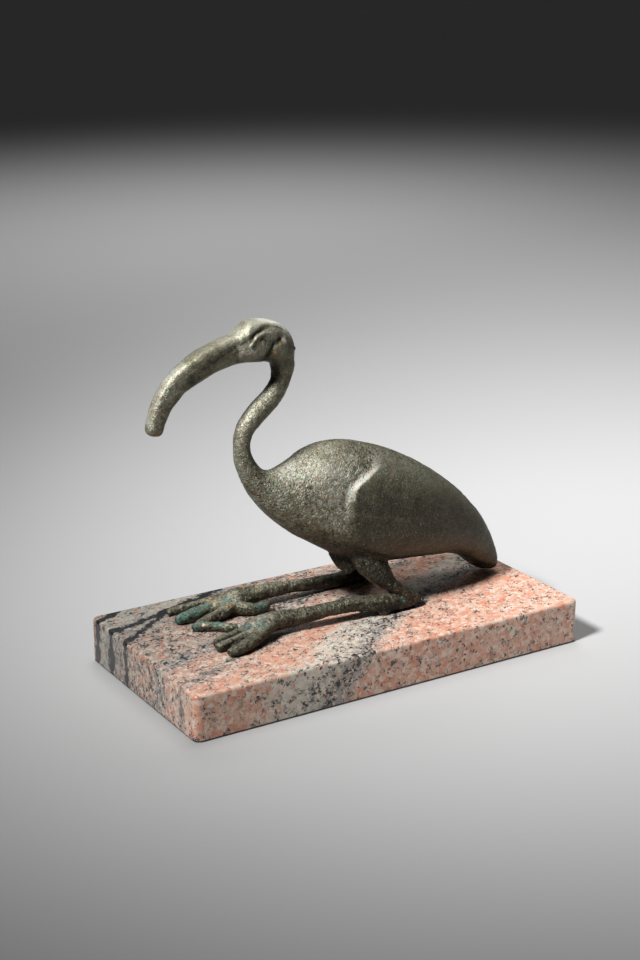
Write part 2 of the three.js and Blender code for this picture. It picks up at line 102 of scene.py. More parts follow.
# limbs: x, y, z, half width, half height
LIMBS = {
    "near_shank": [[31.4, -15.4, 23.0, 2.4, 2.6], [26.0, -15.4, 23.3, 3.4, 3.3],
        [18.0, -15.2, 24.1, 3.9, 3.8], [11.0, -14.8, 25.1, 3.9, 3.9], [1.0, -14.0, 26.5, 3.3, 3.4],
        [-10.0, -13.2, 26.8, 3.0, 3.1], [-19.5, -12.2, 26.2, 3.1, 3.2], [-28.7, -11.0, 25.8, 3.5, 3.7],
        [-37.7, -9.8, 25.6, 4.8, 4.1], [-44.2, -9.8, 24.9, 6.4, 4.1], [-49.4, -11.8, 23.7, 6.4, 3.2]],
    "far_shank": [[31.4, 22.2, 22.8, 2.4, 2.6], [26.0, 22.2, 23.0, 3.3, 3.2], [18.0, 22.0, 23.2, 3.6, 3.4],
        [11.0, 21.7, 23.3, 3.3, 3.2], [-3.0, 21.3, 24.6, 3.0, 3.0], [-12.0, 21.0, 25.3, 3.0, 2.9],
        [-23.0, 20.8, 25.9, 3.4, 3.3], [-33.0, 20.6, 25.9, 4.3, 3.9], [-40.0, 20.6, 25.8, 5.6, 4.2],
        [-46.0, 20.8, 24.4, 6.4, 3.5], [-50.0, 21.2, 23.2, 5.6, 2.6]],
    "near_outer_toe": [[-43, -13.2, 24.4, 3.0, 3.2], [-51, -17.2, 23.3, 2.9, 2.9],
        [-58, -20.2, 22.6, 2.7, 2.8], [-63, -21.5, 22.2, 2.5, 2.4], [-66.4, -21.7, 21.7, 1.6, 1.6]],
    "near_middle_toe": [[-43, -11.2, 24.4, 2.8, 3.0], [-51, -12.8, 23.4, 2.4, 2.7],
        [-59, -14.0, 22.6, 2.2, 2.5], [-65, -14.6, 22.2, 2.1, 2.3], [-68.4, -14.5, 21.8, 1.5, 1.6]],
    "near_inner_toe": [[-43, -8.4, 24.4, 2.8, 3.0], [-51, -8.9, 23.4, 2.4, 2.7],
        [-59, -9.9, 22.8, 2.2, 2.5], [-64.2, -10.6, 22.4, 2.1, 2.3], [-67.2, -10.7, 22.0, 1.5, 1.7]],
    "far_outer_toe": [[-40, 24.0, 25.0, 3.0, 3.0], [-46.5, 29.6, 22.9, 2.5, 2.4],
        [-53, 31.6, 22.0, 2.2, 1.9], [-61, 30.8, 21.8, 2.1, 1.8], [-67.6, 31.2, 21.5, 1.6, 1.4]],
    "far_middle_toe": [[-40, 22.0, 25.4, 3.2, 3.2], [-47, 22.6, 23.8, 2.8, 3.0],
        [-55, 21.3, 22.9, 2.8, 2.9], [-63, 19.9, 22.7, 2.9, 2.8], [-69.6, 19.9, 22.1, 1.8, 1.9]],
    "far_inner_toe": [[-41, 18.5, 25.0, 3.0, 3.0], [-47.5, 15.5, 23.4, 2.7, 2.9],
        [-54, 13.8, 22.6, 2.3, 2.5], [-60.5, 11.2, 22.2, 2.2, 2.3], [-66.3, 9.0, 21.7, 1.7, 1.7]],
    "far_hind_toe": [[-43, 18.0, 25.0, 2.6, 2.8], [-40.6, 15.0, 23.4, 2.6, 2.8],
        [-37, 13.0, 22.8, 2.4, 2.7], [-32.8, 12.2, 22.6, 2.2, 2.4], [-28.6, 12.9, 22.6, 1.9, 2.0],
        [-26.8, 13.4, 22.6, 1.1, 1.2]],
    "loose_digit": [[-64.5, 8.8, 21.7, 1.5, 1.6], [-61, 7.8, 21.9, 1.9, 2.0], [-57, 5.3, 22.0, 2.1, 2.1],
        [-53.2, 1.3, 22.0, 2.0, 2.1], [-49.8, -0.7, 21.9, 1.5, 1.8]],
    "keel_lump": [[-1.0, 1.5, 47.6, 3.6, 3.4], [0.6, -1.8, 43.6, 3.6, 3.8], [2.3, -4.0, 40.8, 3.2, 3.6],
        [3.0, -5.0, 39.2, 2.6, 3.0], [3.2, -5.4, 38.0, 1.4, 1.6]],
    "near_stub": [[14.6, -15.0, 24.5, 2.4, 3.6], [14.2, -15.6, 22.2, 2.4, 3.9],
        [14.0, -16.0, 20.6, 2.5, 3.8], [14.0, -16.2, 18.4, 2.5, 3.8]],
    "far_stub": [[15.6, 22.0, 24.0, 3.2, 3.0], [15.2, 22.0, 22.0, 3.0, 2.8], [15.0, 22.0, 18.0, 2.8, 2.6]],
}


# ---------------------------------------------------------------- surfaces as functions of two parameters
def smooth(t):
    """3t squared minus 2t cubed, with t held between 0 and 1."""
    t = np.clip(t, 0.0, 1.0)
    return t * t * (3 - 2 * t)


def through(rows, u):
    """Smooth curve through a table, u from 0 to 1: cubic pieces whose slopes are half the step between
    neighbours."""
    rows = np.asarray(rows, float)
    last = len(rows) - 1
    place = np.clip(u, 0.0, 1.0) * last
    i = np.minimum(place.astype(int), last - 1)
    t = (place - i)[..., None]
    before, here, there, after = (rows[np.clip(i + k, 0, last)] for k in (-1, 0, 1, 2))
    into, out = (there - before) / 2, (after - here) / 2
    return ((1 + 2 * t) * (1 - t) ** 2 * here + t * (1 - t) ** 2 * into
            + t * t * (3 - 2 * t) * there + t * t * (t - 1) * out)


def grid(u_count, v_count, crowded=0.0):
    """Grid: u from 0 to 1 along, angle once round without its last column. Crowded rings gather toward
    both ends."""
    u = np.linspace(0, 1, u_count)
    u = u - crowded * np.sin(2 * np.pi * u) / (2 * np.pi)
    return np.meshgrid(u, np.linspace(0, 2 * np.pi, v_count, endpoint=False), indexing="ij")


def wing_proud(u, angle):
    """How far the folded wing stands out of the body skin, in mm.

    s runs from the leading edge to the tail and t from beside the spine down to the lower edge. The
    leading edge is a ramp that steepens to a crest, longer toward the spine, with a shallow hollow before
    it; the lower edge is a short rounded step.
    """
    row = u * (len(BODY_ROWS) - 1)
    degrees = np.abs(np.degrees((angle + np.pi) % (2 * np.pi) - np.pi))
    s = np.full_like(u, 0.3)
    for _ in range(5):
        low = through(WING_LOW, s)[..., 0]
        t = (degrees - WING_TOP) / (low - WING_TOP)
        front = through(WING_FRONT, t)[..., 0]
        s = np.clip((row - front) / (WING_LAST_ROW - front), 0, 1)
    ahead = (row - front) * ROW_LENGTH
    below = np.radians(low - degrees) * SIDE_RADIUS
    rise = 4.5 + 5.5 * smooth((0.52 - t) / 0.28)
    ramp = np.clip((ahead + rise - 0.1) / rise, 0, 1) ** 1.5
    side = smooth(t / 0.42) * smooth((below + 0.8) / 1.6)
    end = smooth((WING_LAST_ROW - row) / 0.25)
    hollow = -0.35 * np.exp(-((ahead + 5.6) / 2.6) ** 2) * smooth(t / 0.3) * smooth((0.85 - t) / 0.2)
    return WING_PROUD * ramp * side * end * (1 - 0.55 * s) + hollow


def wing_share(u, angle):
    """1 on the wing and 0 off it, with a soft border: the wing's height over its full height, held
    between 0 and 1."""
    return np.clip(wing_proud(u, angle) / 0.4, 0, 1)


def ring_skin(rows, u, angle, proud=0.0, square=2.0, rounded=0.0):
    """Point on a lofted skin: the middle of back and front points, plus the cosine of the angle toward
    the back point and the sine sideways. Where the body is full the lower half swells by up to a third. A
    square above 2 turns the round section toward a rounded rectangle. Over the rounded share of its
    length the end closes as a half circle."""
    back_x, back_z, front_x, front_z, half = np.moveaxis(through(rows, u), -1, 0)
    close = np.sqrt(1 - np.clip(1 - (1 - u) / rounded, 0, 1) ** 2) if rounded else 1.0
    half = half * close
    reach_x, reach_z = (back_x - front_x) / 2 * close, (back_z - front_z) / 2 * close
    reach = np.hypot(reach_x, reach_z).clip(1e-6)
    c, s = np.cos(angle), np.sin(angle)
    c, s = (np.sign(v) * np.abs(v) ** (2 / square) for v in (c, s))
    share = np.clip((half - 7) / 10, 0, 1)
    fullness = 1 + 0.34 * share * np.maximum(-c, 0) * s ** 2
    along = c * fullness * (1 + proud / reach)
    wide = s * fullness * (half + proud)
    return np.stack([(back_x + front_x) / 2 + reach_x * along, MIDDLE + wide,
                     (back_z + front_z) / 2 + reach_z * along], -1)


def limb_skin(rows, u, angle):
    """Point on a tube whose oval section stays square to its path: cosine sideways, sine along the lift.
    The section shrinks to nothing at both ends as a half circle does, over the last six hundredths of the
    length."""
    row = through(rows, u)
    end = np.minimum(np.minimum(u, 1 - u) / 0.06, 1)
    full = np.sqrt(np.clip(1 - (1 - end) ** 2, 0, 1))
    ahead, behind = through(rows, np.minimum(u + 0.02, 1)), through(rows, np.maximum(u - 0.02, 0))
    along = (ahead - behind)[..., :3]
    along /= np.linalg.norm(along, axis=-1, keepdims=True)
    steep = np.abs(along[..., 2:]) > 0.8
    upward = np.where(steep, [1.0, 0.0, 0.0], [0.0, 0.0, 1.0])
    side = np.cross(upward, along)
    side /= np.linalg.norm(side, axis=-1, keepdims=True)
    lift = np.cross(along, side)
    return (row[..., :3] + side * (np.cos(angle) * row[..., 3] * full)[..., None]
            + lift * (np.sin(angle) * row[..., 4] * full)[..., None])


def thigh_skin(rows, side, inward, u, angle):
    """Point on a thigh: an oval between its front and rear points, spread outward on the way down to the
    heel."""
    front_x, front_z, rear_x, rear_z, away, half = np.moveaxis(through(rows, u), -1, 0)
    c = np.cos(angle)
    return np.stack([(front_x + rear_x) / 2 + (rear_x - front_x) / 2 * c,
                     MIDDLE + side * (away - inward) + np.sin(angle) * half,
                     (front_z + rear_z) / 2 + (rear_z - front_z) / 2 * c], -1)


def closed_loft(points):
    """Vertices and faces of a closed skin over a grid of rings, with a fan to a pole at each end, facing
    outward."""
    rings, sides = points.shape[:2]
    vertices = np.concatenate([points.reshape(-1, 3), points[0].mean(0)[None], points[-1].mean(0)[None]])
    i, j = np.meshgrid(np.arange(rings - 1), np.arange(sides), indexing="ij")
    a, b = i * sides + j, i * sides + (j + 1) % sides
    quads = np.stack([a, b, b + sides, a + sides], -1).reshape(-1, 4)
    j = np.arange(sides)
    nxt, start, end = (j + 1) % sides, rings * sides, rings * sides + 1
    first = np.stack([np.full(sides, start), nxt, j], -1)
    final = np.stack([np.full(sides, end), (rings - 1) * sides + j, (rings - 1) * sides + nxt], -1)
    triangles = np.concatenate([quads[:, [0, 1, 2]], quads[:, [0, 2, 3]], first, final])
    corner = vertices[triangles]
    volume = np.einsum("ij,ij->i", corner[:, 0], np.cross(corner[:, 1], corner[:, 2])).sum()
    return vertices, triangles if volume > 0 else triangles[:, ::-1]


def mesh_from(name, vertices, faces):
    """Blender mesh from arrays in millimetres, smooth shaded."""
    mesh = bpy.data.meshes.new(name)
    mesh.from_pydata((vertices * MM).tolist(), [], faces if isinstance(faces, list) else faces.tolist())
    mesh.polygons.foreach_set("use_smooth", np.ones(len(mesh.polygons), bool))
    mesh.update()
    return mesh


def object_from(name, mesh):
    piece = bpy.data.objects.new(name, mesh)
    bpy.context.scene.collection.objects.link(piece)
    return piece


# ---------------------------------------------------------------- relief
def random_at(ix, iy, iz, seed):
    """Fixed number from -1 to 1 for each whole-number corner, from multiplied and folded integers."""
    h = (ix * 374761393 + iy * 668265263 + iz * 1440662683 + seed * 974634777) & 0xFFFFFFFF
    h = ((h ^ (h >> 13)) * 1274126177) & 0xFFFFFFFF
    return (h ^ (h >> 16)) / 2147483648.0 - 1.0


def swell(points, size, seed=0):
    """Smooth random height from -1 to 1 whose lumps are about that size: corner numbers blended along
    each axis."""
    p = points / size
    base = np.floor(p).astype(np.int64)
    t = p - base
    t = t * t * t * (t * (t * 6 - 15) + 10)
    total = np.zeros(len(points))
    for corner in np.ndindex(2, 2, 2):
        share = np.where(corner, t, 1 - t).prod(1)
        total += share * random_at(*(base + corner).T, seed)
    return total


def distance_to_line(points, line):
    """Shortest distance from each point to a line of straight pieces, and how far along it, from 0 to 1."""
    line = np.asarray(line, float)
    best, where = np.full(len(points), 1e9), np.zeros(len(points))
    for k, (a, b) in enumerate(zip(line[:-1], line[1:])):
        t = np.clip((points - a) @ (b - a) / ((b - a) @ (b - a)), 0, 1)
        d = np.linalg.norm(points - a - t[:, None] * (b - a), axis=1)
        closer = d < best
        best[closer], where[closer] = d[closer], (k + t[closer]) / (len(line) - 1)
    return best, where


def stroke(points, line, width, height):
    """Ridge or groove along a line: height times e to the minus square of distance over width, fading at
    its ends."""
    d, t = distance_to_line(points, line)
    return height * np.exp(-((d / width) ** 2)) * smooth(np.minimum(t, 1 - t) / 0.12 + 0.35)


def both_sides(line):
    """The same line on the bird's left and on its right."""
    line = np.asarray(line, float)
    other = line.copy()
    other[:, 1] = 2 * MIDDLE - other[:, 1]
    return line, other


def spot(points, centre, radius):
    """1 at a centre, falling smoothly to 0 at the radius."""
    return smooth(1 - np.linalg.norm(points - np.asarray(centre, float), axis=1) / radius)


HEAD_STROKES = [
    # line, width, height
    ([[-43.0, -2.6, 146.6], [-41.3, -2.4, 148.1], [-37.6, -1.6, 149.7], [-34.2, -0.8, 150.2],
      [-30.2, -0.4, 149.4], [-27.0, 0.0, 147.8]], 1.0, -1.2),
    ([[-40.5, -1.6, 150.2], [-36.5, -0.4, 151.4], [-32.5, 0.2, 151.4], [-28.6, 0.6, 150.0]], 1.1, 0.35),
    ([[-43.8, -2.9, 143.6], [-42.0, -2.8, 145.8], [-40.5, -2.6, 147.4]], 0.6, 0.6),
    ([[-40.5, -2.6, 147.4], [-37.7, -2.6, 148.1], [-34.4, -2.5, 147.9], [-31.1, -2.6, 146.6]], 0.6, 0.6),
    ([[-39.4, -3.1, 146.2], [-36.0, -3.3, 145.0], [-32.0, -3.2, 144.2]], 1.7, -0.7),
    ([[-44.6, -2.4, 146.0], [-47.7, -1.9, 144.8], [-50.6, -1.6, 143.6]], 1.1, -0.6),
    ([[-50.6, -1.6, 143.4], [-55.5, -1.6, 141.2], [-60.5, -1.5, 138.6], [-65.6, -1.1, 135.8]], 1.2, -0.28),
    ([[-48.9, -1.8, 143.0], [-49.2, -1.6, 140.4], [-49.0, -0.8, 137.6]], 0.9, -0.4),
    ([[-29.3, -2.5, 145.9], [-32.0, -3.2, 143.2], [-34.3, -3.0, 141.0], [-35.9, -1.8, 138.3]], 1.3, -1.0),
    ([[-27.6, -2.0, 145.6], [-27.2, -2.3, 143.6], [-28.2, -2.6, 141.6]], 0.9, 0.4),
    ([[-47.4, -2.1, 141.6], [-44.0, -2.6, 140.6], [-40.4, -2.7, 140.0]], 2.0, 0.45),
    ([[-33.6, -2.8, 140.6], [-31.4, -2.9, 141.8]], 0.8, 0.35),
]

TOE_GROOVES = [
    ([[-50.0, -11.0, 26.4], [-58.0, -12.0, 25.0], [-66.4, -12.7, 23.4]], 0.7, -0.7),
    ([[-50.0, -15.6, 26.2], [-54.0, -16.4, 25.0], [-58.4, -16.8, 24.0], [-64.0, -17.4, 22.6]], 0.8, -1.2),
    ([[-48.0, 26.4, 25.0], [-53.0, 27.2, 23.8], [-60.0, 26.0, 22.6]], 0.9, -0.5),
    ([[-57.6, -22.0, 25.4], [-61.0, -23.0, 24.6], [-64.6, -22.4, 24.0]], 0.6, -0.4),
    ([[-62.0, -14.2, 25.2], [-67.4, -14.6, 23.8]], 0.6, 0.25),
    ([[-60.0, -10.4, 25.3], [-66.4, -10.8, 23.9]], 0.6, 0.25),
]


def neighbour_mean(points, edges):
    """Mean of each vertex's neighbours, by counting both ends of every edge."""
    count = np.bincount(edges.ravel(), minlength=len(points)).clip(1)[:, None]
    total = np.stack([np.bincount(edges[:, 0], points[edges[:, 1], k], len(points))
                      + np.bincount(edges[:, 1], points[edges[:, 0], k], len(points))
                      for k in range(3)], -1)
    return total / count


def softened(points, edges, rounds, share):
    """Vertices moved by a share of the way to their neighbours' mean, round after round."""
    for _ in range(rounds):
        points = points + share * (neighbour_mean(points, edges) - points)
    return points


def vertex_normals(points, triangles):
    """Sum of the cross products of the faces round each vertex, made one long."""
    corner = points[triangles]
    across = np.cross(corner[:, 1] - corner[:, 0], corner[:, 2] - corner[:, 0])
    total = np.stack([sum(np.bincount(triangles[:, c], across[:, k], len(points)) for c in range(3))
                      for k in range(3)], -1)
    return total / np.linalg.norm(total, axis=1, keepdims=True).clip(1e-12)


def arrays_of(mesh):
    """Vertices in millimetres, triangles and edges of a mesh."""
    mesh.calc_loop_triangles()
    points = np.zeros(len(mesh.vertices) * 3)
    mesh.vertices.foreach_get("co", points)
    triangles = np.zeros(len(mesh.loop_triangles) * 3, int)
    mesh.loop_triangles.foreach_get("vertices", triangles)
    edges = np.zeros(len(mesh.edges) * 2, int)
    mesh.edges.foreach_get("vertices", edges)
    return points.reshape(-1, 3) / MM, triangles.reshape(-1, 3), edges.reshape(-1, 2)


def finished_by(piece, kind, **settings):
    """Mesh of a piece after one modifier has been worked out."""
    modifier = piece.modifiers.new(kind.title(), kind)
    for key, value in settings.items():
        setattr(modifier, key, value)
    shown = piece.evaluated_get(bpy.context.evaluated_depsgraph_get())
    mesh = bpy.data.meshes.new_from_object(shown)
    piece.modifiers.remove(modifier)
    return mesh


def bird_parts():
    """Every loft of the bird, in millimetres, as closed skins that overlap."""
    u, angle = grid(*BODY_GRID)
    yield closed_loft(ring_skin(BODY_ROWS, u, angle, wing_proud(u, angle)))
    u, angle = grid(*HEAD_GRID)
    square = 2 + 0.7 * smooth((u - 0.12) / 0.1) + 0.5 * smooth((u - 0.38) / 0.15)
    yield closed_loft(ring_skin(HEAD_ROWS, u, angle, 0.0, square, 0.04))
    u, angle = grid(*THIGH_GRID)
    yield closed_loft(thigh_skin(THIGH_ROWS, -1, 0.0, u, angle))
    yield closed_loft(thigh_skin(FAR_THIGH_ROWS, 1, FAR_THIGH_INWARD, u, angle))
    for name, rows in LIMBS.items():
        yield closed_loft(limb_skin(rows, *grid(*(SHANK_GRID if "shank" in name else TOE_GRID))))


def body_place(points):
    """Nearest row and angle of the body skin for each point, by comparing with the body's middle line."""
    u = np.linspace(0, 1, 240)
    rows = through(BODY_ROWS, u)
    middle = np.stack([(rows[:, 0] + rows[:, 2]) / 2, (rows[:, 1] + rows[:, 3]) / 2], -1)
    reach = np.stack([(rows[:, 0] - rows[:, 2]) / 2, (rows[:, 1] - rows[:, 3]) / 2], -1)
    length = np.linalg.norm(reach, axis=1)
    unit = reach / length[:, None]
    offset = points[:, None, [0, 2]] - middle[None]
    across = np.abs(offset[..., 0] * -unit[:, 1] + offset[..., 1] * unit[:, 0])
    beyond = np.maximum(np.abs(offset[..., 0] * unit[:, 0] + offset[..., 1] * unit[:, 1]) - length * 1.1, 0)
    best = np.argmin(across + 3 * beyond, axis=1)
    toward = np.einsum("ij,ij->i", points[:, [0, 2]] - middle[best], unit[best]) / length[best]
    side = (points[:, 1] - MIDDLE) / rows[best, 4]
    return u[best], np.arctan2(side, toward)


def leg_share(points):
    """1 on thighs, shanks and feet and 0 on the body, from the height below the belly."""
    return smooth((44.0 - points[:, 2]) / 8.0) * smooth((40.0 - points[:, 0]) / 6.0)


def relief(points, wing):
    """Height of the cast and corroded surface over the smooth skin, in mm: soft lumps everywhere, pits
    and short ridges that the wing has less of, and the worked lines of head and feet."""
    rough = (1 - 0.6 * wing) * (1 - 0.4 * smooth((points[:, 2] - 128.0) / 8.0))
    leg = leg_share(points)
    high = 0.12 * swell(points, 11.0, 1) + 0.09 * swell(points, 5.0, 2)
    worm = 1 - smooth(np.abs(swell(points + 1.2 * swell(points, 3.0, 9)[:, None], 1.8, 3)) / 0.42)
    high += rough * 0.07 * worm
    high -= rough * (0.09 + 0.10 * leg) * smooth((swell(points, 1.6, 4) - 0.10) / 0.5)
    high += 0.20 * leg * swell(points, 2.8, 5) + (0.045 + 0.075 * leg) * swell(points, 1.4, 6)
    for line, width, height in HEAD_STROKES:
        for one in both_sides(line):
            high += stroke(points, one, width, height) * (0.85 + 0.35 * swell(points, 2.4, 7))
    for line, width, height in TOE_GROOVES:
        high += stroke(points, line, width, height)
    high += 0.7 * spot(points, (-22.0, -0.4, 139.6), 1.3)
    return high


def fused_bird():
    """Bird in one skin: the lofts are joined and fused, inner corners are filled softly, and relief is
    added."""
    vertices, triangles, start = [], [], 0
    for v, f in bird_parts():
        v[:, 2] = np.maximum(v[:, 2], REST)
        vertices.append(v)
        triangles.append(f + start)
        start += len(v)
    lofts = mesh_from("bird_parts", np.concatenate(vertices), np.concatenate(triangles))
    rough_piece = object_from("bird_parts", lofts)
    mesh = finished_by(rough_piece, "REMESH", mode="VOXEL", voxel_size=VOXEL * MM, adaptivity=0.0)
    bpy.data.objects.remove(rough_piece)
    points, triangles, edges = arrays_of(mesh)
    polygons = [tuple(p.vertices) for p in mesh.polygons]
    points = softened(points, edges, *SEAM_SOFTENING)
    normals = vertex_normals(points, triangles)
    filled = np.einsum("ij,ij->i", softened(points, edges, *FILL_SOFTENING) - points, normals)
    crisp = 1 - 0.8 * spot(points, (-1.0, -9.0, 46.0), 9.0) - 0.6 * spot(points, (-37.0, MIDDLE, 89.0), 9.0)
    points += normals * (np.clip(filled, 0, MOST_FILLING) * crisp)[:, None]
    normals = vertex_normals(points, triangles)
    u, angle = body_place(points)
    wing = wing_share(u, angle) * (1 - leg_share(points)) * (points[:, 0] > -12)
    points += normals * relief(points, wing)[:, None]
    points[:, 2] = np.where(points[:, 2] < REST + FLAT_UNDER, REST, points[:, 2])
    fine = object_from("bird_fine", mesh_from("bird_fine", points, polygons))
    mesh = finished_by(fine, "DECIMATE", ratio=min(MOST_FACES / len(triangles), 1.0))
    bpy.data.objects.remove(fine)
    return mesh


def keep_inside(points):
    """Holds the dressed bird in the CAD bird's own box."""
    low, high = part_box("ibis")
    return np.clip(points, np.array(low) / MM, np.array(high) / MM)


ibis_mesh = fused_bird()
points, triangles, edges = arrays_of(ibis_mesh)
points = keep_inside(points)
ibis_mesh.vertices.foreach_set("co", (points * MM).ravel())
ibis_mesh.polygons.foreach_set("use_smooth", np.ones(len(ibis_mesh.polygons), bool))
ibis_mesh.update()


def give(mesh, name, values):
    """One number for each vertex, kept on the mesh under a name that the finish reads."""
    mesh.attributes.new(name, "FLOAT", "POINT").data.foreach_set("value", np.asarray(values, np.float32))


TEAL_PLACES = [
    ((-66, 19.6, 24.0), 5.5), ((-60, 19.4, 24.6), 5.0), ((-69, 19.9, 22.4), 4.0), ((-54, 20.5, 25.2), 3.4),
    ((-34.0, 10.8, 24.0), 3.0), ((-30.5, 11.2, 23.6), 3.0), ((-50.8, -1.7, 22.6), 2.8),
    ((-57.0, 5.0, 23.6), 4.0), ((-62.4, 8.4, 23.2), 3.2), ((-66.0, 8.6, 22.4), 3.0),
    ((-46.2, -13.0, 27.0), 3.6), ((-51.2, -10.1, 25.8), 3.4), ((21.8, -18.4, 25.8), 1.8),
    ((-46.0, 17.0, 26.6), 3.4)]
OCHRE_PLACES = [
    ((-49.4, 27.8, 23.8), 3.2), ((-49.8, 21.3, 26.1), 2.2), ((-46.2, 14.4, 25.9), 2.4),
    ((-36.0, 21.1, 29.4), 2.2), ((-29.7, 19.6, 29.2), 2.0), ((-50.3, -19.4, 24.7), 1.8),
    ((15.8, -17.2, 33.9), 1.4), ((13.4, -19.4, 26.2), 1.6), ((72.2, 0.4, 27.8), 2.2),
    ((-30.1, -3.1, 142.6), 0.8), ((-27.4, -2.4, 144.6), 0.7), ((-44.0, 24.6, 27.0), 2.4),
    ((-84.5, 3.5, 112.5), 5.5)]
# paler lines of the skin, rubbed wear along crown, bill and neck front, paler patches on shoulder,
# breast, cheek and head side, and painted highlight along the lid ridges and on the near palm:
# line, reach of the paling, how strong
WEAR_AND_HIGHLIGHT_LINES = [
    ([[-25, 3.5, 149.5], [-30, 3.5, 152], [-34, 3.5, 153]], 6.0, 0.30),
    ([[-47, 0.4, 148.6], [-43, 0.0, 150.6], [-37, 0.2, 152.2]], 3.0, 0.16),
    ([[-22.5, 1.6, 144.0], [-25, 0.8, 148.0], [-30, 0.6, 151.0]], 3.2, 0.32),
    ([[-49, 3.5, 147.5], [-58, 3.5, 145]], 4.5, 0.10),
    ([[-75, 3.5, 137], [-81, 3.5, 130], [-86, 3.5, 121], [-87.3, 3.5, 117.5]], 4.5, 0.28),
    ([[-31, 3.5, 123], [-36, 3.5, 119.5], [-43, 3.5, 112.5], [-48, 3.5, 104], [-48.5, 3.5, 97],
      [-46, 3.5, 89]], 4.0, 0.20),
    ([[-26, -4, 87], [-14, -9, 88], [-4, -12.5, 85]], 11.0, 0.23),
    ([[-43, -2.5, 144], [-31, -3, 144]], 5.5, 0.17),
    ([[-8.5, -14.1, 76], [-8.5, -14.9, 67], [-7.5, -14.4, 61]], 4.5, 0.16),
    # painted highlights along the lid ridges and the short ridge behind the eye
    ([[-43.8, -2.9, 143.6], [-42.0, -2.8, 145.8], [-40.5, -2.6, 147.4], [-37.7, -2.6, 148.1],
      [-34.4, -2.5, 147.9], [-31.1, -2.6, 146.6]], 0.65, 0.28),
    ([[-28.4, -2.2, 144.8], [-27.0, -2.4, 143.6]], 0.7, 0.5),
    ([[-47, -2.1, 141.4], [-40.5, -2.7, 140]], 3.0, 0.20),
    # painted highlight on the near palm
    ([[-45, -9, 27.5], [-50, -13, 26.5]], 5.0, 0.30),
]
# lines along which the skin is darker: painted shade in the grooves of brow, eye, mouth and bill, at
# the nape and throat under the head, and along the wing's front edge
PAINTED_SHADE_LINES = [
    ([[-43.6, -2.6, 146.8], [-41.3, -2.4, 148.0], [-37.6, -1.6, 149.5], [-34.2, -0.8, 150.0],
      [-30.2, -0.4, 149.2], [-27.0, 0.0, 147.6]], 0.9, 0.40),
    ([[-34.2, -0.8, 149.6], [-30.2, -0.6, 148.8], [-26.0, 0.2, 146.0]], 1.0, 0.10),
    ([[-39.4, -3.1, 146.0], [-36.0, -3.3, 144.8], [-32.0, -3.2, 144.0]], 1.5, 0.10),
    ([[-29.3, -2.5, 145.9], [-32.0, -3.2, 143.2], [-34.3, -3.0, 141.0], [-35.9, -1.8, 138.3]], 1.5, 0.30),
    ([[-44.6, -2.4, 146.0], [-48, -1.9, 144.6], [-53, -1.6, 142.0], [-60.5, -1.5, 138.6],
      [-70, -0.6, 132.0]], 1.7, 0.13),
    ([[-48.9, -1.8, 143.0], [-49.2, -1.6, 140.4], [-49.0, -0.8, 137.6]], 1.0, 0.08),
    ([[-28, -2.0, 132.0], [-30, -1.0, 127.0]], 4.0, 0.10),
    ([[2.0, -15.8, 77.0], [0.9, -16.5, 72.3], [1.4, -17.3, 65.8], [3.4, -17.1, 57.0]], 3.0, 0.05),
    ([[-38, -2.0, 137.0], [-33, 3.5, 133.5], [-31, 3.5, 129.0]], 4.0, 0.25),
]
# the same on one side alone, paler or darker: painted shade in the gaps between toes, along the near
# shank's underside, on the stub under the shank and on the far shank under the body; painted light
# along the far shank's top; and the near heel, far ankle and keel lump darker
ONE_SIDE_PAINTED_SHADE_AND_LIGHT = [
    ([[-57, -11.8, 24.6], [-66.4, -12.7, 23.4]], 1.0, -0.32),
    ([[-51, -15.8, 25.8], [-58.4, -16.8, 23.8], [-64, -17.4, 22.4]], 1.3, -0.40),
    ([[22.0, -17.0, 31.0], [28.0, -15.4, 25.0], [31.4, -15.4, 22.0]], 6.0, -0.14),
    ([[-20, -12.5, 23.5], [12, -15.0, 22.5]], 2.4, -0.12),
    ([[-48, 20.5, 26.0], [-54, 14.5, 23.5]], 3.0, -0.16),
    ([[-46, 20.8, 28.0], [-38, 20.6, 29.5]], 5.0, -0.12),
    ([[-30, 19.8, 29.0], [-4, 20.3, 27.4]], 3.6, 0.12),
    ([[14.2, -17.0, 22.0], [14.0, -18.4, 19.5]], 5.0, -0.45),
    ([[4.0, 20.0, 24.0], [16.0, 19.0, 24.0], [26.0, 17.0, 26.0]], 9.0, -0.40),
    ([[-1.0, -3.0, 44.0], [3.0, -5.0, 38.0]], 5.0, -0.25),
]


def any_of(points, spots):
    """The largest of several soft spots."""
    return np.max([spot(points, centre, radius) for centre, radius in spots], axis=0)


